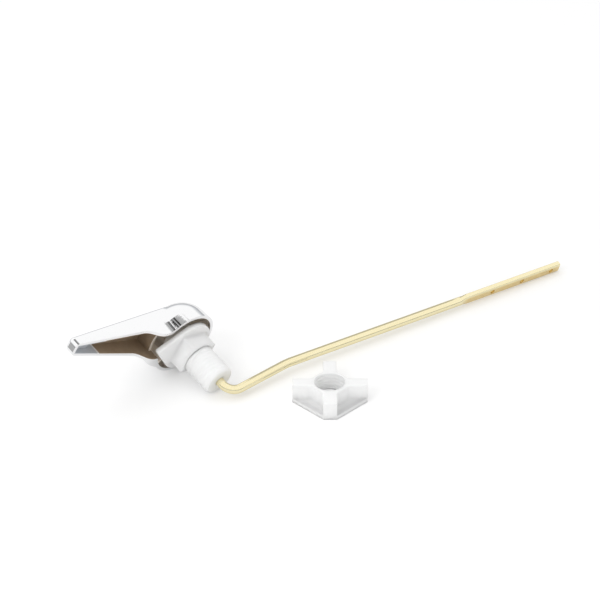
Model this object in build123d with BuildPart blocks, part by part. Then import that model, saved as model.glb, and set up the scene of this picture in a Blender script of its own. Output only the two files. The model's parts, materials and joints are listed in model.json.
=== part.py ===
from build123d import *
from math import acos, asin, atan2, cos, degrees, hypot, radians, sin, tan
import os

# Cistern lever: a chrome handle, a white bushing, a brass arm and the loose mounting nut, in millimetres.
# The lever lies as it comes to rest on a table. The origin is on the spindle, where the barrel leaves the
# square shank. +X runs along the arm, +Y to the handle side and +Z up.

# Arm
rod_diameter = 4.76
elbow_leg = 9.0
elbow_radius = 6.5
first_run = 38.0
bend_angle = 8.3
bend_radius = 40.0
long_run = 111.0
shoulder_length = 4.0
blade_length = 63.0
blade_height = 6.0
blade_thickness = 2.9
blade_corner = 0.9
hole_count = 3
hole_diameter = 2.6
hole_pitch = 20.0
hole_from_end = 5.8
drive_flat = 0.8
drive_length = 8.0

# Bushing
flange_radius = 14.5
flange_thickness = 2.7
flange_round = 0.6
nose_reach = 22.0
nose_round = 1.5
shank_side = 16.8
shank_length = 8.3
shank_round = 1.2
barrel_diameter = 16.8
barrel_length = 17.7
barrel_chamfer = 1.0
hub_radius = 9.0
hub_length = 6.0
running_clearance = 0.05
face_clearance = 0.3

# Handle
head_radius = 18.8
head_depth = 19.6
head_draft = 3.0
crown_radius = 14.0
wall = 1.8
lever_raise = 18.7
lever_reach = 71.5
lever_sink = 2.0
lever_drop = 2.5
lever_root_radius = 11.7
lever_root_shift = 1.1
lever_tip_width = 8.2
lever_tip_shift = -0.6
tip_round = 2.6
edge_round = 2.2
seam_blend = 5.0
flare_at = 31.0
flare_overlap = 1.0
flare_height = 11.0
flare_slope = 24.0
rim_flat = 18.0
root_at = 30.0
root_rise = 6.0
tip_rise = 11.2
hollow_corner = 0.8
partition = 1.5
partition_drop = 6.2
recess_length = 13.0
recess_depth = 2.5
boss_radius = 6.0

# Travel stop inside the head
travel = 28.0
lug_width = 4.0
lug_outer = 13.5
lug_depth = 5.0
lug_angle = 270.0
stop_rib = 2.0
stop_inner = 11.5
stop_setback = 1.0

# Nut
nut_height = 10.0
nut_base = 2.2
nut_hub_diameter = 19.2
nut_bore_diameter = 15.4
nut_span = 38.2
nut_wing_width = 7.0
nut_blend = 3.5
nut_round = 0.6
nut_x = 38.9
nut_y = -57.0
nut_turn = 47.5

# Resting pose: the head's rim and the end of the barrel both touch the table
rim_setback = flange_thickness + face_clearance
barrel_end = shank_length + barrel_length
rest_tilt = atan2(head_radius - barrel_diameter / 2, barrel_end + rim_setback)
table_z = -barrel_length * sin(rest_tilt) - barrel_diameter / 2 * cos(rest_tilt)
spindle = Vector(0, -cos(rest_tilt), -sin(rest_tilt))
across = Vector(1, 0, 0)
upward = Vector(0, -sin(rest_tilt), cos(rest_tilt))
seat_origin = spindle * -shank_length

# Roll of the arm about the spindle that lays the end of its blade on the table
elbow_at = barrel_end + elbow_leg
tail_length = long_run + shoulder_length + blade_length
bend = radians(bend_angle)
end_across = first_run + tail_length * cos(bend)
end_along = elbow_at + tail_length * sin(bend)
lift_arm = (end_across - blade_thickness / 2 * sin(bend)) * cos(rest_tilt)
drop_arm = blade_height / 2 * cos(rest_tilt)
rise_needed = table_z - seat_origin.Z + (end_along + blade_thickness / 2 * cos(bend)) * sin(rest_tilt)
arm_roll = asin(rise_needed / hypot(lift_arm, drop_arm)) + atan2(drop_arm, lift_arm)
arm_dir = across * cos(arm_roll) + upward * sin(arm_roll)
arm_up = upward * cos(arm_roll) - across * sin(arm_roll)

# Work planes
arm_plane = Plane(seat_origin, x_dir=arm_dir, z_dir=-arm_up)
lever_dir = upward * sin(radians(lever_raise)) - across * cos(radians(lever_raise))
bushing_plane = Plane(seat_origin, x_dir=lever_dir, z_dir=spindle)
rim_centre = seat_origin - spindle * rim_setback
handle_plane = Plane(rim_centre, x_dir=lever_dir, z_dir=-spindle)
handle_side = Plane(rim_centre, x_dir=lever_dir, z_dir=-handle_plane.y_dir)
spindle_axis = Axis(seat_origin, spindle)

os.makedirs("parts", exist_ok=True)

# Arm: a rod through the bushing, bent at the elbow and flattened at its far end
hub_end = flange_thickness + hub_length
shaft_start = -(hub_end + face_clearance + drive_length)
blade_start = Vector(first_run + long_run * cos(bend), elbow_at + long_run * sin(bend))
tail_dir = arm_dir * cos(bend) + spindle * sin(bend)
blade_plane = Plane(arm_plane.from_local_coords(blade_start), x_dir=arm_up, z_dir=tail_dir)

with BuildPart() as arm:
    with BuildLine(arm_plane):
        FilletPolyline(
            (0, shaft_start),
            (0, elbow_at),
            (first_run, elbow_at),
            (blade_start.X, blade_start.Y),
            radius=[elbow_radius, bend_radius],
        )
    with BuildSketch(bushing_plane.offset(shaft_start)):
        Circle(rod_diameter / 2)
    sweep()
    with BuildSketch(blade_plane):
        Circle(rod_diameter / 2)
    with BuildSketch(blade_plane.offset(shoulder_length)):
        RectangleRounded(blade_height, blade_thickness, blade_corner)
    loft()
    with BuildSketch(blade_plane.offset(shoulder_length)):
        RectangleRounded(blade_height, blade_thickness, blade_corner)
    extrude(amount=blade_length)
    blade_face = Plane(
        blade_plane.origin + tail_dir * (shoulder_length + blade_length),
        x_dir=tail_dir,
        z_dir=arm_up.cross(tail_dir),
    )
    with BuildSketch(blade_face):
        for number in range(hole_count):
            with Locations((-hole_from_end - number * hole_pitch, 0)):
                Circle(hole_diameter / 2)
    extrude(amount=blade_thickness, both=True, mode=Mode.SUBTRACT)
    with BuildSketch(bushing_plane.offset(shaft_start)):
        with Locations((rod_diameter - drive_flat, 0)):
            Rectangle(rod_diameter, rod_diameter)
    extrude(amount=drive_length, mode=Mode.SUBTRACT)

arm.part.label = "arm"
export_step(arm.part, "parts/arm.step")

# Bushing: nosed flange, square shank, barrel, and a hub with a stop lug on the handle side
with BuildPart() as bushing:
    with BuildSketch(bushing_plane.offset(-flange_thickness)):
        Circle(flange_radius)
        with Locations((nose_reach - nose_round, 0)):
            Circle(nose_round)
        make_hull()
    extrude(amount=flange_thickness)
    fillet(bushing.faces().sort_by(spindle_axis)[-1].edges(), flange_round)
    with BuildSketch(bushing_plane):
        RectangleRounded(shank_side, shank_side, shank_round)
    extrude(amount=shank_length)
    with BuildSketch(bushing_plane.offset(shank_length)):
        Circle(barrel_diameter / 2)
    extrude(amount=barrel_length)
    chamfer(bushing.faces().sort_by(spindle_axis)[-1].edges(), barrel_chamfer)
    with BuildSketch(bushing_plane.offset(-hub_end)):
        Circle(hub_radius)
    extrude(amount=hub_length)
    with BuildSketch(bushing_plane.offset(-flange_thickness - lug_depth)):
        with Locations((0, lug_outer / 2)):
            Rectangle(lug_width, lug_outer)
    extrude(amount=lug_depth)
    with BuildSketch(bushing_plane.offset(-hub_end)):
        Circle(rod_diameter / 2 + running_clearance)
    extrude(amount=hub_end + barrel_end, mode=Mode.SUBTRACT)

bushing.part.label = "bushing"
export_step(bushing.part, "parts/bushing.step")

# Outlines that the outside of the handle shares with its hollow
def lever_outline(inset, corner):
    """Draw the lever as seen from the front, moved in from its edge, with rounded tip corners."""
    tip_x = lever_reach - inset - corner
    tip_y = lever_tip_width / 2 - inset - corner
    with Locations((0, lever_root_shift)):
        Circle(lever_root_radius - inset)
    with Locations((tip_x, lever_tip_shift + tip_y), (tip_x, lever_tip_shift - tip_y)):
        Circle(corner)
    make_hull()


def head_section(radius, depth, crown):
    """Draw half of the head's section: a drafted wall that rounds over into a flat front."""
    front_radius = radius - depth * tan(radians(head_draft))
    Polygon((0, 0), (radius, 0), (front_radius, depth), (0, depth), align=None)
    fillet(vertices().group_by(Axis.Y)[-1].sort_by(Axis.X)[-1], crown)


# The lever: its front slopes back towards the tip and has a rounded edge
with BuildPart() as lever_bar:
    with BuildSketch(handle_plane):
        lever_outline(0, tip_round)
    extrude(amount=head_depth)
    with BuildSketch(handle_side):
        Polygon(
            (-lever_root_radius, head_depth),
            (-lever_root_radius, head_depth - lever_sink),
            (lever_reach, head_depth - lever_drop),
            (lever_reach, head_depth),
            align=None,
        )
    extrude(amount=head_radius, both=True, mode=Mode.SUBTRACT)
    fillet(lever_bar.faces().sort_by(spindle_axis)[0].edges(), edge_round)

# The hollow of the head, which leaves the boss for the arm and the two ribs that stop the lug
cup_radius = head_radius - wall
floor_depth = head_depth - wall
boss_start = hub_end + face_clearance - rim_setback
stop_half_angle = degrees(asin(lug_width / 2 / stop_inner) + asin(stop_rib / 2 / stop_inner))
stop_gap = stop_half_angle + degrees(face_clearance / stop_inner)

with BuildPart() as head_hollow:
    with BuildSketch(handle_side):
        head_section(cup_radius, floor_depth, crown_radius - wall)
    revolve(axis=spindle_axis)
    with BuildSketch(handle_plane.offset(boss_start)):
        Circle(boss_radius)
    extrude(amount=head_depth, mode=Mode.SUBTRACT)
    with BuildSketch(handle_plane.offset(stop_setback)):
        for angle in (lug_angle - stop_gap, lug_angle + travel + stop_gap):
            with PolarLocations((stop_inner + head_radius) / 2, 1, start_angle=angle):
                Rectangle(head_radius - stop_inner, stop_rib)
    extrude(amount=head_depth, mode=Mode.SUBTRACT)

# The flare under the lever's root: a tangent from the head to a point on the lever's lower edge
root_low = lever_root_radius - lever_root_shift
tip_low = lever_tip_width / 2 - lever_tip_shift
flare_low = root_low + (tip_low - root_low) * flare_at / lever_reach
flare_point = Vector(flare_at, flare_overlap - flare_low)
flare_radius = head_radius - flare_overlap
flare_angle = atan2(flare_point.Y, flare_point.X) - acos(flare_radius / flare_point.length)
flare_tangent = Vector(cos(flare_angle), sin(flare_angle)) * flare_radius

# Handle: head and lever blended into one casting, then hollowed from the back
with BuildPart() as handle:
    with BuildSketch(handle_side):
        head_section(head_radius, head_depth, crown_radius)
    revolve(axis=spindle_axis)
    add(lever_bar.part)
    fillet(handle.edges(Select.NEW), seam_blend)
    with BuildSketch(handle_plane):
        Polygon((0, 0), flare_tangent, flare_point, align=None)
    extrude(amount=flare_height, taper=flare_slope)
    add(head_hollow.part, mode=Mode.SUBTRACT)
    with BuildSketch(handle_plane):
        lever_outline(wall, hollow_corner)
        Circle(cup_radius + partition, mode=Mode.SUBTRACT)
        with Locations((lever_reach, 0)):
            Rectangle(2 * recess_length, 2 * lever_tip_width, mode=Mode.SUBTRACT)
    extrude(amount=floor_depth - lever_drop, mode=Mode.SUBTRACT)
    with BuildSketch(handle_plane):
        lever_outline(wall, hollow_corner)
        Circle(lever_reach - recess_length - wall, mode=Mode.SUBTRACT)
    extrude(amount=tip_rise + recess_depth, mode=Mode.SUBTRACT)
    with BuildSketch(handle_plane):
        lever_outline(wall, hollow_corner)
        Circle(boss_radius + wall, mode=Mode.SUBTRACT)
    extrude(amount=partition_drop, mode=Mode.SUBTRACT)
    with BuildSketch(handle_side):
        with BuildLine():
            rim_slope = (tip_rise - root_rise) / (lever_reach - root_at)
            beyond_tip = lever_reach + wall
            Spline((rim_flat, 0), (root_at, root_rise), tangents=((1, 0), (1, rim_slope)))
            Polyline(
                (root_at, root_rise),
                (beyond_tip, tip_rise + wall * rim_slope),
                (beyond_tip, -wall),
                (rim_flat, -wall),
                (rim_flat, 0),
            )
        make_face()
    extrude(amount=head_radius, both=True, mode=Mode.SUBTRACT)
    with BuildSketch(handle_plane.offset(boss_start)):
        Circle(rod_diameter / 2)
        with Locations((rod_diameter - drive_flat, 0)):
            Rectangle(rod_diameter, rod_diameter, mode=Mode.SUBTRACT)
    extrude(amount=drive_length, mode=Mode.SUBTRACT)

handle.part.label = "handle"
export_step(handle.part, "parts/handle.step")

# Nut: a hub with four wings on a thin base, lying flat on the table
nut_facing = Vector(cos(radians(nut_turn)), sin(radians(nut_turn)), 0)
nut_plane = Plane((nut_x, nut_y, table_z), x_dir=nut_facing, z_dir=(0, 0, 1))

with BuildPart() as mounting_nut:
    with BuildSketch(nut_plane):
        Rectangle(nut_span, nut_wing_width)
        Rectangle(nut_wing_width, nut_span)
        make_hull()
    extrude(amount=nut_base)
    with BuildSketch(nut_plane):
        Circle(nut_hub_diameter / 2)
        Rectangle(nut_span, nut_wing_width)
        Rectangle(nut_wing_width, nut_span)
        fillet(vertices().group_by(SortBy.DISTANCE)[0], nut_blend)
    extrude(amount=nut_height)
    fillet(mounting_nut.faces().sort_by(Axis.Z)[-1].edges(), nut_round)
    with BuildSketch(nut_plane):
        Circle(nut_bore_diameter / 2)
    extrude(amount=nut_height, mode=Mode.SUBTRACT)

mounting_nut.part.label = "mounting_nut"
export_step(mounting_nut.part, "parts/mounting_nut.step")
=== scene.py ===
# %% [markdown]
# # A cistern lever, dressed for its picture
# The lever that flushes a cistern has four pieces: a chromed handle, a white bushing that sits in the
# cistern's wall, a bent brass arm that lifts the chain, and the winged nut that holds the bushing.
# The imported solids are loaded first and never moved, so every size and joint stays as it was built.

import json
import math

import bmesh
import bpy
from mathutils import Matrix, Vector


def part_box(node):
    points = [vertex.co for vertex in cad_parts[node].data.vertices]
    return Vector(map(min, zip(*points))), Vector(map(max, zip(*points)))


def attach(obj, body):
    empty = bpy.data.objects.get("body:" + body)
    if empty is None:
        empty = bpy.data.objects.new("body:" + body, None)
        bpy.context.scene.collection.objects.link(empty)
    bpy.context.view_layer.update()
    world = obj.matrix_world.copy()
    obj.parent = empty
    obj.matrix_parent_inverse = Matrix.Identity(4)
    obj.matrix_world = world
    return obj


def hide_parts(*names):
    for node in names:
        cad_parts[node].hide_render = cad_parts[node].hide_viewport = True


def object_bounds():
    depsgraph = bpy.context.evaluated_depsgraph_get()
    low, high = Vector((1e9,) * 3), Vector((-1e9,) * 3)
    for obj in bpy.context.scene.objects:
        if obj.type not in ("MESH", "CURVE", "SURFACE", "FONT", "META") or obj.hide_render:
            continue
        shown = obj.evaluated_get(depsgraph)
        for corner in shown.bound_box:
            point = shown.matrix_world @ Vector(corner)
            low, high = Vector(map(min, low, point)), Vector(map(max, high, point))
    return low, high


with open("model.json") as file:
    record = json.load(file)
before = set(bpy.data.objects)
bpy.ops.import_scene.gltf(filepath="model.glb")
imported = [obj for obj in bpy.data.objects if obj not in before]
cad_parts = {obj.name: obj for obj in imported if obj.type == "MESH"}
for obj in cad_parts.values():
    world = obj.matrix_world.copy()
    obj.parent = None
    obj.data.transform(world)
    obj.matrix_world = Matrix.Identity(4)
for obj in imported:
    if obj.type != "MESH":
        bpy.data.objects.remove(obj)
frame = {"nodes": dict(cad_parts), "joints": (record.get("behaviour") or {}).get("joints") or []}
nodes = frame["nodes"]
solid_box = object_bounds()
spindle = Vector(frame["joints"][0]["axis"]).normalized()
floor_height = solid_box[0].z
scene = bpy.context.scene
print("pieces", sorted(nodes), "spindle", [round(c, 4) for c in spindle])

# %% [markdown]
# ## The camera
# A long lens from well over a metre away keeps the thin arm straight and the pieces in proportion. The
# camera could be placed by three loose numbers, but a point to look at, a turn, a height and a distance
# say what they mean, so those four place it.

# %% Camera
camera_turn = math.radians(-42.5)
camera_height = math.radians(32.5)
camera_distance = 1.3978
look_at = Vector((0.0903, 0.0215, floor_height))
back = Vector((
    math.sin(camera_turn) * math.cos(camera_height),
    -math.cos(camera_turn) * math.cos(camera_height),
    math.sin(camera_height),
))
lens = bpy.data.cameras.new("camera")
lens.lens = 156
lens.sensor_width = 36
camera = bpy.data.objects.new("camera", lens)
camera.location = look_at + back * camera_distance
camera.rotation_euler = (-back).to_track_quat("-Z", "Y").to_euler()
scene.collection.objects.link(camera)
scene.camera = camera
scene.view_settings.view_transform = "Standard"
print("camera at", [round(c, 3) for c in camera.location])

# %% [markdown]
# ## Helpers
# Every finish below is a small tree of nodes, and every piece starts as a bmesh. Adding each node and placing
# each mesh takes several lines, always the same ones. A few helpers take up what repeats, so that a finish
# reads like its recipe: start a finish, add nodes, mix two colours by a share, fade between two values.

# %% Helpers for nodes
def start_finish(name):
    finish = bpy.data.materials.new(name)
    finish.use_nodes = True
    tree = finish.node_tree
    return finish, tree, tree.nodes["Principled BSDF"]


def feed(tree, socket, value):
    if isinstance(value, bpy.types.NodeSocket):
        tree.links.new(value, socket)
    else:
        socket.default_value = value


def add(tree, kind, inputs=None, **settings):
    node = tree.nodes.new(kind)
    for key, value in settings.items():
        setattr(node, key, value)
    for key, value in (inputs or {}).items():
        feed(tree, node.inputs[key], value)
    return node


def work_out(tree, operation, first, second=0.0, third=0.0):
    terms = {0: first, 1: second, 2: third}
    return add(tree, "ShaderNodeMath", terms, operation=operation).outputs[0]


print("node helpers ready")

# %% Helpers for patterns and meshes
def mixed(tree, share, plain, other):
    colours = {"Factor": share, 6: plain, 7: other}
    return add(tree, "ShaderNodeMix", colours, data_type="RGBA").outputs[2]


def clouds(tree, place, scale):
    pattern = {"Vector": place, "Scale": scale, "Detail": 3.0}
    return add(tree, "ShaderNodeTexNoise", pattern).outputs["Fac"]


def faded(tree, value, start=0.0, end=1.0, low=0.0, high=1.0):
    limits = {"Value": value, "From Min": start, "From Max": end, "To Min": low, "To Max": high}
    return add(tree, "ShaderNodeMapRange", limits).outputs["Result"]


def roughen(tree, shader, height, strength):
    grain = {"Height": height, "Strength": strength, "Distance": 0.0002}
    feed(tree, shader.inputs["Normal"], add(tree, "ShaderNodeBump", grain).outputs[0])


def placed(name, form, finish):
    mesh = bpy.data.meshes.new(name)
    form.to_mesh(mesh)
    form.free()
    mesh.materials.append(finish)
    piece = bpy.data.objects.new(name, mesh)
    scene.collection.objects.link(piece)
    return piece


print("pattern and mesh helpers ready")

# %% [markdown]
# ## The floor
# The lever lies on a white sheet that fades into white. A sheet lit until it burns out would bleach the
# lever as well. So the sheet keeps a plain white that takes the shadows, and glows a little for the eye,
# and less for the mirror of the metal, without lighting anything.

# %% Floor
floor_half_width = 6.0
sheet_white = (0.85, 0.85, 0.85, 1)
glow_for_eye = 0.20
glow_in_metal = 0.05


def rays(tree):
    path = add(tree, "ShaderNodeLightPath").outputs
    eye = work_out(tree, "MAXIMUM", path["Is Camera Ray"], path["Is Transmission Ray"])
    return eye, path["Is Glossy Ray"]


def make_sheet():
    finish, tree, shader = start_finish("white_paper")
    tree.nodes.remove(shader)
    eye, mirror = rays(tree)
    glow = work_out(tree, "MULTIPLY", mirror, glow_in_metal)
    glow = work_out(tree, "MULTIPLY_ADD", eye, glow_for_eye, glow)
    paper = add(tree, "ShaderNodeBsdfDiffuse", {"Color": sheet_white}).outputs[0]
    light = add(tree, "ShaderNodeEmission", {"Strength": glow}).outputs[0]
    lit_paper = add(tree, "ShaderNodeAddShader", {0: paper, 1: light}).outputs[0]
    feed(tree, tree.nodes["Material Output"].inputs["Surface"], lit_paper)
    return finish


floor_form = bmesh.new()
bmesh.ops.create_grid(floor_form, x_segments=1, y_segments=1, size=floor_half_width)
bmesh.ops.translate(floor_form, verts=floor_form.verts, vec=(look_at.x, look_at.y, floor_height))
floor = placed("floor", floor_form, make_sheet())
print("floor at", round(floor_height, 5))

# %% [markdown]
# ## The light
# The lever stands in a white tent, where light comes from everywhere. The world gives that light. One soft
# lamp above and behind and one at the side add enough direction to tell one face of the white plastic from
# the next. What shows in the chrome and the brass is the tent's wall, white above and greyer low down, so
# only mirror rays see that shading.

# %% Tent and lamps
tent_light = (0.85, 0.85, 0.85, 1)
tent_white = (1.0, 1.0, 1.0, 1)
low_wall = (0.38, 0.39, 0.41, 1)
middle_wall, middle_height = (0.58, 0.59, 0.61, 1), 0.16
white_height = 0.36


def make_tent():
    world = bpy.data.worlds.new("tent")
    scene.world = world
    world.use_nodes = True
    tree = world.node_tree
    eye, mirror = rays(tree)
    way = add(tree, "ShaderNodeTexCoord").outputs["Generated"]
    rise = add(tree, "ShaderNodeSeparateXYZ", {"Vector": way}).outputs["Z"]
    wall = add(tree, "ShaderNodeValToRGB", {"Fac": rise})
    low, high = wall.color_ramp.elements
    low.position, low.color = 0.0, low_wall
    high.position, high.color = white_height, tent_white
    wall.color_ramp.elements.new(middle_height).color = middle_wall
    lit = mixed(tree, mirror, tent_light, wall.outputs["Color"])
    tent = mixed(tree, eye, lit, tent_white)
    feed(tree, tree.nodes["Background"].inputs["Color"], tent)


def make_lamp(name, place, size, power):
    light = bpy.data.lights.new(name, "AREA")
    light.shape = "DISK"
    light.size = size
    light.energy = power
    lamp = bpy.data.objects.new(name, light)
    lamp.location = place
    lamp.rotation_euler = (Vector(place) - look_at).to_track_quat("Z", "Y").to_euler()
    scene.collection.objects.link(lamp)
    lamp.visible_glossy = False
    return lamp


make_tent()
lamps = [
    make_lamp("top_lamp", (-0.25, 0.35, 1.2), size=0.8, power=1.3),
    make_lamp("side_lamp", (-0.8, -0.12, 0.72), size=0.5, power=1.9),
]
print("tent ready, lamps", [lamp.name for lamp in lamps])

# %% [markdown]
# ## Dark cards
# Polished metal in an all-white tent looks like white plastic. A photographer holds grey and black cards
# near it, and their reflections draw the metal's form. One grey card lies along the arm. Three hang over
# the head, from grey to pale, with two black strips in front of them. One stands beyond the lever's tip,
# with a thin black strip of its own. Each place is worked out from the mirror angle at the spot where the
# card should show. Only reflections see the cards, so they throw no shadow and take no light away.

# %% Cards
down = (0, 0, -1)
black = 0.02


def make_card(name, place, facing, width, height, shade):
    card_form = bmesh.new()
    bmesh.ops.create_grid(card_form, x_segments=1, y_segments=1, size=0.5)
    bmesh.ops.scale(card_form, verts=card_form.verts, vec=(width, height, 1))
    turn = Vector(facing).to_track_quat("Z", "Y").to_matrix()
    bmesh.ops.rotate(card_form, verts=card_form.verts, cent=(0, 0, 0), matrix=turn)
    bmesh.ops.translate(card_form, verts=card_form.verts, vec=place)
    finish, tree, shader = start_finish(name)
    tree.nodes.remove(shader)
    grey = add(tree, "ShaderNodeEmission", {"Color": (shade, shade, shade, 1)}).outputs[0]
    feed(tree, tree.nodes["Material Output"].inputs["Surface"], grey)
    card = placed(name, card_form, finish)
    card.visible_camera = False
    card.visible_diffuse = False
    card.visible_transmission = False
    card.visible_shadow = False
    return card


along_arm = (-0.116, -0.811, -0.574)
cards = [
    make_card("arm_card", (0.106, -0.0026, 0.017), along_arm, 0.14, 0.0375, 0.5),
    make_card("head_card_left", (-0.06, 0.054, 0.3), down, 0.12, 0.038, 0.36),
    make_card("head_card_right", (0.06, 0.051, 0.3), down, 0.12, 0.032, 0.42),
    make_card("pale_card", (0.165, 0.056, 0.3), down, 0.09, 0.042, 0.72),
    make_card("left_strip", (-0.066, 0.052, 0.29), down, 0.022, 0.034, black),
    make_card("right_strip", (-0.024, 0.052, 0.29), down, 0.022, 0.034, black),
    make_card("tip_card", (-0.241, 0.113, 0.019), (0.87, -0.49, 0.06), 0.12, 0.066, 0.42),
    make_card("tip_strip", (-0.234, 0.106, 0.0297), (0.88, -0.48, 0.01), 0.12, 0.008, 0.05),
]
print("cards", [card.name for card in cards])

# %% [markdown]
# ## The hollow of the handle
# The handle is a zinc casting that is plated outside. Plating hardly reaches into the hollow back, which
# stays duller and browner. The casting is one piece with one finish, so the finish has to know where the
# hollow is. Painting it by hand would be lost whenever the solid changes. Instead a Mapping node turns each
# point into the lever's own directions, along the lever, across it and towards its front, and a few
# comparisons tell whether the point lies inside the lever's walls or in the cup of the head. Each wall of the
# lever is a straight line, given as a slope and a height at the middle of the head. All lengths are in metres.

# %% Directions of the lever
lever_raise = math.radians(18.7)
rim_offset = 0.0113
across = Vector((1, 0, 0))
front = -spindle
upward = across.cross(front).normalized()
lever_way = upward * math.sin(lever_raise) - across * math.cos(lever_raise)
lever_up = front.cross(lever_way)
lever_axes = Matrix((lever_way, lever_up, front))
rim_shift = lever_axes @ (front * -rim_offset)


def seen_from_lever(tree):
    source = add(tree, "ShaderNodeTexCoord").outputs
    turn = {"Rotation": lever_axes.to_euler()}
    moved = {"Vector": source["Object"], "Location": rim_shift, **turn}
    spot = add(tree, "ShaderNodeMapping", moved).outputs[0]
    facing = add(tree, "ShaderNodeMapping", {"Vector": source["Normal"], **turn}).outputs[0]
    spot = add(tree, "ShaderNodeSeparateXYZ", {"Vector": spot}).outputs
    facing = add(tree, "ShaderNodeSeparateXYZ", {"Vector": facing}).outputs["Z"]
    return source["Object"], spot, facing


print("lever runs", [round(c, 3) for c in lever_way])

# %% Tests for the hollow
upper_wall = (-0.130, 0.01115)
lower_wall = (0.0825, -0.00895)
lever_depth, lever_end = 0.0160, 0.0698
cup_radius, cup_depth, cup_floor_facing = 0.0169, 0.0105, -0.3
partition_radius, partition_depth, partition_facing = 0.0187, 0.0085, -0.5


def below(tree, value, limit):
    return work_out(tree, "LESS_THAN", value, limit)


def above(tree, value, limit):
    return work_out(tree, "GREATER_THAN", value, limit)


def joined(tree, operation, first, *others):
    for other in others:
        first = work_out(tree, operation, first, other)
    return first


def inside_lever(tree, spot):
    top = work_out(tree, "MULTIPLY_ADD", spot["X"], *upper_wall)
    bottom = work_out(tree, "MULTIPLY_ADD", spot["X"], *lower_wall)
    return joined(
        tree, "MULTIPLY",
        below(tree, spot["Y"], top),
        above(tree, spot["Y"], bottom),
        below(tree, spot["Z"], lever_depth),
        above(tree, spot["X"], 0.0),
        below(tree, spot["X"], lever_end),
    )


def inside_head(tree, spot, facing, in_lever):
    square = work_out(tree, "MULTIPLY", spot["X"], spot["X"])
    square = work_out(tree, "MULTIPLY_ADD", spot["Y"], spot["Y"], square)
    off_centre = work_out(tree, "SQRT", square)
    in_cup = below(tree, off_centre, cup_radius)
    cup_wall = joined(tree, "MULTIPLY", in_cup, below(tree, spot["Z"], cup_depth))
    cup_floor = joined(tree, "MULTIPLY", in_cup, below(tree, facing, cup_floor_facing))
    # The partition's rim is picked out so that it takes the paler colour, which is painted light.
    partition_rim = joined(
        tree, "MULTIPLY",
        in_lever,
        below(tree, off_centre, partition_radius),
        below(tree, spot["Z"], partition_depth),
        below(tree, facing, partition_facing),
    )
    return joined(tree, "MAXIMUM", cup_wall, cup_floor, partition_rim)


print("hollow reaches", lever_end, "m along the lever")

# %% [markdown]
# ## Chrome
# Outside, the plate is a bright mirror with the faintest haze. Inside, the bare casting is brown, and a thin
# grey plate has crept in from the tip. The cup and the rim of the partition get a paler colour, which is
# painted light standing for their lit faces, and a thin pale line where the grey plate ends is a painted
# highlight standing for the lit edge of a small step.
# Separate materials would need the faces of the casting sorted one by one. Mixing the colours by the tests
# above needs no sorting, and the same tests make the hollow dull and hardly metallic.

# %% Chrome finish
plate_start, plate_full = 0.0535, 0.0545
# Where the thin pale line of painted highlight stands along the lever, and how wide it is.
highlight_line_at, highlight_half_width, highlight_fade = 0.0536, 0.0003, 0.0009


def make_chrome():
    finish, tree, shader = start_finish("chrome_plate")
    place, spot, facing = seen_from_lever(tree)
    in_lever = inside_lever(tree, spot)
    in_head = inside_head(tree, spot, facing, in_lever)
    hollow = work_out(tree, "MAXIMUM", in_lever, in_head)
    near_tip = faded(tree, spot["X"], plate_start, plate_full)
    off_highlight_line = work_out(tree, "ABSOLUTE", work_out(tree, "SUBTRACT", spot["X"], highlight_line_at))
    painted_step_highlight = faded(tree, off_highlight_line, highlight_half_width, highlight_fade, low=1.0, high=0.0)
    haze = clouds(tree, place, 60.0)
    spots = clouds(tree, place, 220.0)
    plate = mixed(tree, haze, (0.945, 0.95, 0.955, 1), (0.975, 0.975, 0.98, 1))
    bare = mixed(tree, spots, (0.29, 0.21, 0.135, 1), (0.42, 0.325, 0.23, 1))
    # The paler colour of the cup and the partition rim is painted light, standing for their lit faces.
    painted_lit_casting = mixed(tree, spots, (0.84, 0.75, 0.64, 1), (0.92, 0.85, 0.76, 1))
    thin_plate = mixed(tree, haze, (0.52, 0.54, 0.57, 1), (0.62, 0.64, 0.66, 1))
    casting = mixed(tree, near_tip, mixed(tree, in_head, bare, painted_lit_casting), thin_plate)
    # A thin pale line is a painted highlight, standing for the lit edge of a small step.
    casting = mixed(tree, painted_step_highlight, casting, (0.86, 0.85, 0.84, 1))
    feed(tree, shader.inputs["Base Color"], mixed(tree, hollow, plate, casting))
    shine = faded(tree, haze, low=0.03, high=0.07)
    feed(tree, shader.inputs["Roughness"], work_out(tree, "MULTIPLY_ADD", hollow, 0.40, shine))
    feed(tree, shader.inputs["Metallic"], faded(tree, hollow, low=1.0, high=0.1))
    plate_grain = clouds(tree, place, 900.0)
    cast_grain = clouds(tree, place, 1600.0)
    grain = work_out(tree, "MULTIPLY_ADD", hollow, cast_grain, plate_grain)
    roughen(tree, shader, grain, strength=0.03)
    return finish


def dress(name, finish):
    for slot in nodes[name].material_slots:
        slot.material = finish
    print(name, "takes", finish.name)


dress("handle", make_chrome())

# %% [markdown]
# ## Brass
# The arm is drawn rod, so fine lines run along it, and the flats of its pressed end keep the marks of the
# press. The flats are also given a darker colour than the rod, which is painted shade for the blade's sides,
# while the rounded top edge of the blade keeps the rod's colour. Noise stretched along the rod gives the drawn
# lines, and rounder noise gives the press marks. A picture of brass would have to be unwrapped around the rod
# and its bends, and noise in the piece's own space needs no unwrapping.

# %% Brass finish
blade_up = Vector((-0.035, -0.338, 0.941))
blade_middle = Vector((0.1885, -0.0481, -0.0102)).dot(blade_up)
blade_start, blade_full = 0.147, 0.153
flat_half_height, edge_start = 0.0012, 0.0016
drawn_stretch = (25.0, 1400.0, 1400.0)


def on_flats(tree, place):
    reach = add(tree, "ShaderNodeSeparateXYZ", {"Vector": place}).outputs["X"]
    past_shoulder = faded(tree, reach, blade_start, blade_full)
    terms = {0: place, 1: blade_up}
    rise = add(tree, "ShaderNodeVectorMath", terms, operation="DOT_PRODUCT").outputs["Value"]
    fade = (blade_middle + flat_half_height, blade_middle + edge_start)
    under_edge = faded(tree, rise, *fade, low=1.0, high=0.0)
    return work_out(tree, "MULTIPLY", past_shoulder, under_edge)


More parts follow.
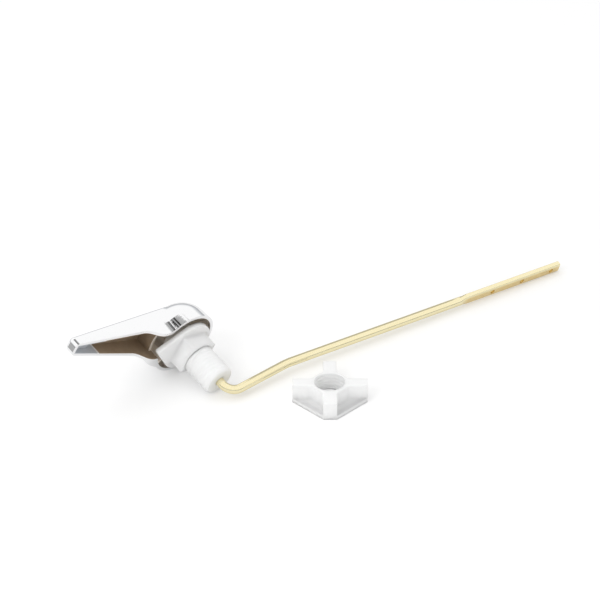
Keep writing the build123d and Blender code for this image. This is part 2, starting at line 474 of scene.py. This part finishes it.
def make_brass():
    finish, tree, shader = start_finish("polished_brass")
    place = add(tree, "ShaderNodeTexCoord").outputs["Object"]
    drawn = add(tree, "ShaderNodeMapping", {"Vector": place, "Scale": drawn_stretch}).outputs[0]
    lines = clouds(tree, drawn, 1.0)
    marks = clouds(tree, place, 420.0)
    flats = on_flats(tree, place)
    bright = mixed(tree, lines, (0.93, 0.82, 0.48, 1), (0.99, 0.91, 0.64, 1))
    # The darker colour of the flats is partly press marks and partly painted shade on the blade's sides.
    pressed_and_shaded = mixed(tree, marks, (0.80, 0.61, 0.28, 1), (0.97, 0.83, 0.50, 1))
    feed(tree, shader.inputs["Base Color"], mixed(tree, flats, bright, pressed_and_shaded))
    polish = faded(tree, lines, low=0.10, high=0.20)
    feed(tree, shader.inputs["Roughness"], work_out(tree, "MULTIPLY_ADD", flats, 0.10, polish))
    shader.inputs["Metallic"].default_value = 1.0
    dents = work_out(tree, "MULTIPLY", marks, flats)
    roughen(tree, shader, work_out(tree, "MULTIPLY_ADD", dents, 2.0, lines), strength=0.08)
    return finish


dress("arm", make_brass())

# %% [markdown]
# ## White plastic
# Bushing and nut are moulded in white plastic. Light goes a little way into it, so thin edges glow softly and
# shaded faces stay pale, and its skin has a faint moulded texture. A plain white would look like chalk, so the
# shader's subsurface does that work, with a reach of a few millimetres.

# %% White plastic finish
def make_plastic():
    finish, tree, shader = start_finish("white_plastic")
    place = add(tree, "ShaderNodeTexCoord").outputs["Object"]
    cast = clouds(tree, place, 90.0)
    white = mixed(tree, cast, (0.895, 0.90, 0.90, 1), (0.935, 0.935, 0.928, 1))
    feed(tree, shader.inputs["Base Color"], white)
    feed(tree, shader.inputs["Roughness"], faded(tree, cast, low=0.32, high=0.45))
    shader.inputs["Subsurface Weight"].default_value = 0.8
    shader.inputs["Subsurface Radius"].default_value = (1.0, 1.0, 1.0)
    shader.inputs["Subsurface Scale"].default_value = 0.004
    roughen(tree, shader, clouds(tree, place, 1500.0), strength=0.05)
    return finish


white_plastic = make_plastic()
dress("bushing", white_plastic)
dress("mounting_nut", white_plastic)

# %% [markdown]
# ## Threads
# The barrel has a coarse left-hand thread, and the nut has the same thread inside. A moulded thread has blunt
# crests and wide roots. Turning one pitch of its outline about the axis while it climbs makes the whole thread
# at once, and two straight cuts give it its length. It could be carved from the solid instead, but the turned
# outline keeps the faces even and few. The outline is a list of radii and of heights as shares of the pitch.

# %% Thread maker
pitch = 0.0021
thread_depth = 0.00032
steps_in_turn = 40
same_point = 2e-6


def cut_away(form, point, way):
    everything = form.verts[:] + form.edges[:] + form.faces[:]
    cut = bmesh.ops.bisect_plane(
        form, geom=everything, plane_co=point, plane_no=way, clear_outer=True)
    return [part for part in cut["geom_cut"] if isinstance(part, bmesh.types.BMEdge)]


def turned_thread(form, crest, root, length):
    outline = [(root, 0.0), (root, 0.22), (crest, 0.46), (crest, 0.72), (root, 0.98), (root, 1.0)]
    turns = math.ceil(length / pitch) + 2
    points = [form.verts.new((radius, 0, (share - 1) * pitch)) for radius, share in outline]
    lines = [form.edges.new(pair) for pair in zip(points, points[1:])]
    bmesh.ops.spin(
        form, geom=points + lines, axis=(0, 0, 1), cent=(0, 0, 0), dvec=(0, 0, pitch / steps_in_turn),
        angle=-2 * math.pi * turns, steps=steps_in_turn * turns,
    )
    bmesh.ops.remove_doubles(form, verts=form.verts, dist=same_point / 2)
    cut_away(form, (0, 0, 0), (0, 0, -1))
    cut_away(form, (0, 0, length), (0, 0, 1))
    bmesh.ops.remove_doubles(form, verts=form.verts, dist=same_point)
    bmesh.ops.dissolve_degenerate(form, edges=form.edges, dist=same_point)


print("pitch", pitch, "depth", thread_depth)

# %% [markdown]
# A threaded piece is a copy of its solid with the thread joined in. Three helpers do the joinery: one finds
# the open rims at a height, one takes the thread's mesh into the copy, and one finishes the piece. A finished
# piece rides on the bushing's body and stands in for the plain solid, which is hidden.

# %% Joinery for threaded pieces
crease = math.radians(32)


def open_rims(form, height):
    rims = [edge for edge in form.edges if edge.is_boundary]
    return [edge for edge in rims if all(abs(point.co.z - height) < same_point for point in edge.verts)]


def copied_form(name):
    form = bmesh.new()
    form.from_mesh(nodes[name].data)
    bmesh.ops.remove_doubles(form, verts=form.verts, dist=same_point / 2)
    return form


def take_in(form, thread):
    carrier = bpy.data.meshes.new("carrier")
    thread.to_mesh(carrier)
    thread.free()
    form.from_mesh(carrier)
    bpy.data.meshes.remove(carrier)


def finished_piece(name, node, form):
    bmesh.ops.recalc_face_normals(form, faces=form.faces)
    piece = placed(name, form, white_plastic)
    piece.data.shade_smooth()
    piece.data.set_sharp_from_angle(angle=crease)
    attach(piece, "fitting")
    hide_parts(node)
    print(name, "has", len(piece.data.polygons), "faces")
    return piece


print("joinery ready")

# %% [markdown]
# ## Threaded bushing
# The solid bushing has a plain barrel, as wide as the thread's crests. The copy keeps everything up to the
# barrel and takes a threaded barrel in its place, with the same bore, length and bevelled end. The bevel comes
# from pulling in every point that stands outside it. The end face and the bore grow out of the thread's rim by
# extruding it twice, and a flat ring of triangles closes the barrel and the cut behind it.

# %% Threaded bushing
barrel_radius = 0.0084
barrel_length = 0.0177
barrel_bevel = 0.0010
bore_radius = 0.00243
cut_height = 0.00005


def drawn_out(form, rim):
    made = bmesh.ops.extrude_edge_only(form, edges=rim)["geom"]
    points = [part for part in made if isinstance(part, bmesh.types.BMVert)]
    edges = [part for part in made if isinstance(part, bmesh.types.BMEdge)]
    return points, [edge for edge in edges if all(point in points for point in edge.verts)]


def threaded_barrel():
    form = bmesh.new()
    turned_thread(form, barrel_radius, barrel_radius - thread_depth, barrel_length)
    for point in form.verts:
        limit = barrel_radius - max(0.0, point.co.z - barrel_length + barrel_bevel)
        if point.co.xy.length > limit:
            point.co.xy *= limit / point.co.xy.length
    bore_points, bore_rim = drawn_out(form, open_rims(form, barrel_length))
    for point in bore_points:
        point.co.xy *= bore_radius / point.co.xy.length
    deep_points = drawn_out(form, bore_rim)[0]
    bmesh.ops.translate(form, verts=deep_points, vec=(0, 0, -barrel_length))
    bmesh.ops.triangle_fill(form, edges=open_rims(form, 0.0), use_beauty=True, normal=(0, 0, -1))
    to_spindle = Matrix((lever_way, -lever_up, spindle)).transposed().to_4x4()
    bmesh.ops.transform(form, matrix=to_spindle, verts=form.verts)
    return form


bushing_form = copied_form("bushing")
cut_edges = cut_away(bushing_form, spindle * cut_height, spindle)
bmesh.ops.triangle_fill(bushing_form, edges=cut_edges, use_beauty=True, normal=spindle)
take_in(bushing_form, threaded_barrel())
threaded_bushing = finished_piece("threaded_bushing", "bushing", bushing_form)

# %% [markdown]
# ## Threaded nut
# The nut's bore is as wide as the crests of its own thread. The copy loses the plain wall of the bore, its two
# rims are opened to just past the thread's roots, and the thread goes in between. Bridging the loops would
# close the bore with a disc, so a flat ring of triangles closes each end.

# %% Threaded nut
nut_bore = 0.0077
wall_margin = 0.0002
wall_slant = 0.1
rim_margin = 0.00005
nut_low, nut_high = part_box("mounting_nut")
nut_axis = Vector(((nut_low[0] + nut_high[0]) / 2, (nut_low[1] + nut_high[1]) / 2, nut_low[2]))
nut_height = nut_high[2] - nut_low[2]


def on_bore(face):
    off_axis = (face.calc_center_median() - nut_axis).xy.length
    return abs(face.normal.z) < wall_slant and off_axis < nut_bore + wall_margin


nut_form = copied_form("mounting_nut")
nut_form.normal_update()
bore_wall = [face for face in nut_form.faces if on_bore(face)]
bmesh.ops.delete(nut_form, geom=bore_wall, context="FACES")
nut_rims = {point for edge in nut_form.edges if edge.is_boundary for point in edge.verts}
bmesh.ops.translate(nut_form, verts=nut_form.verts, vec=-nut_axis)
for point in nut_rims:
    point.co.xy *= (nut_bore + thread_depth + rim_margin) / nut_bore
inner_thread = bmesh.new()
turned_thread(inner_thread, nut_bore, nut_bore + thread_depth, nut_height)
take_in(nut_form, inner_thread)
for height in (0.0, nut_height):
    rims = open_rims(nut_form, height)
    bmesh.ops.triangle_fill(nut_form, edges=rims, use_beauty=True, normal=(0, 0, 1))
bmesh.ops.translate(nut_form, verts=nut_form.verts, vec=nut_axis)
threaded_nut = finished_piece("threaded_nut", "mounting_nut", nut_form)
